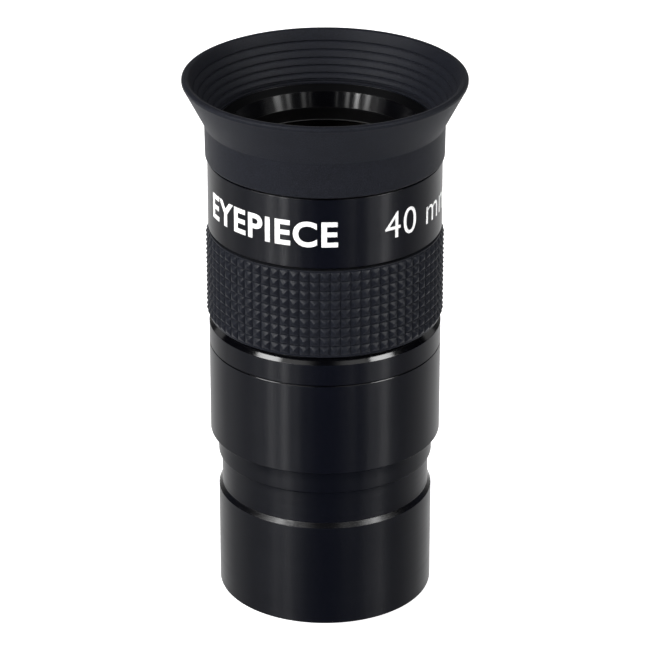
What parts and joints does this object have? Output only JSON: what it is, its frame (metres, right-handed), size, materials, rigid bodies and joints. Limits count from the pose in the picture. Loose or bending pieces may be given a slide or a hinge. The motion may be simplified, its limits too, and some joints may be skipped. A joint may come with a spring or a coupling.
{
  "type": "telescope eyepiece",
  "caption": "Straight telescope eyepiece with an undercut push-fit barrel, cylindrical housing, knobbly rubber grip band and a flared rubber eyecup that folds down.",
  "frame": {"origin": "centre of the barrel's open end face, on the optical axis", "axes": "+Z along the optical axis, from the barrel's open end towards the eye; X and Y are any two directions across it, because the part is round"},
  "size_m": [0.041, 0.041, 0.0806],
  "materials": {
    "barrel_metal": "black anodised, satin, fine turned",
    "body_metal": "black anodised, satin, fine turned, bright cut chamfers",
    "blackened_metal": "dull black anodised",
    "grip_rubber": "moulded pyramids, matt",
    "eyecup_rubber": "moulded, fine matt grain",
    "optical_glass": "polished, anti-reflection coated"
  },
  "bodies": {
    "housing": {"nosepiece_barrel": "barrel_metal", "field_stop_ring": "blackened_metal", "lower_body": "body_metal", "upper_housing": "body_metal", "rubber_grip": "grip_rubber", "eye_lens_flint": "optical_glass", "eye_lens_crown": "optical_glass", "lens_spacer_ring": "blackened_metal", "field_lens_crown": "optical_glass", "field_lens_flint": "optical_glass", "lens_retaining_ring": "blackened_metal"},
    "eyecup": {"eyecup_sleeve": "eyecup_rubber", "eyecup_flare": "eyecup_rubber"},
    "eyecup_lip": {"eyecup_rim": "eyecup_rubber"}
  },
  "joints": [
    {"name": "eyecup_turn", "type": "hinge", "parent": "housing", "child": "eyecup", "pos_m": [0, 0, 0.071], "axis": [0, 0, 1], "continuous": true},
    {"name": "eyecup_fold", "type": "slide", "parent": "eyecup", "child": "eyecup_lip", "axis": [0, 0, -1], "range_m": [0, 0.0125], "deforming": ["eyecup_flare"]}
  ]
}
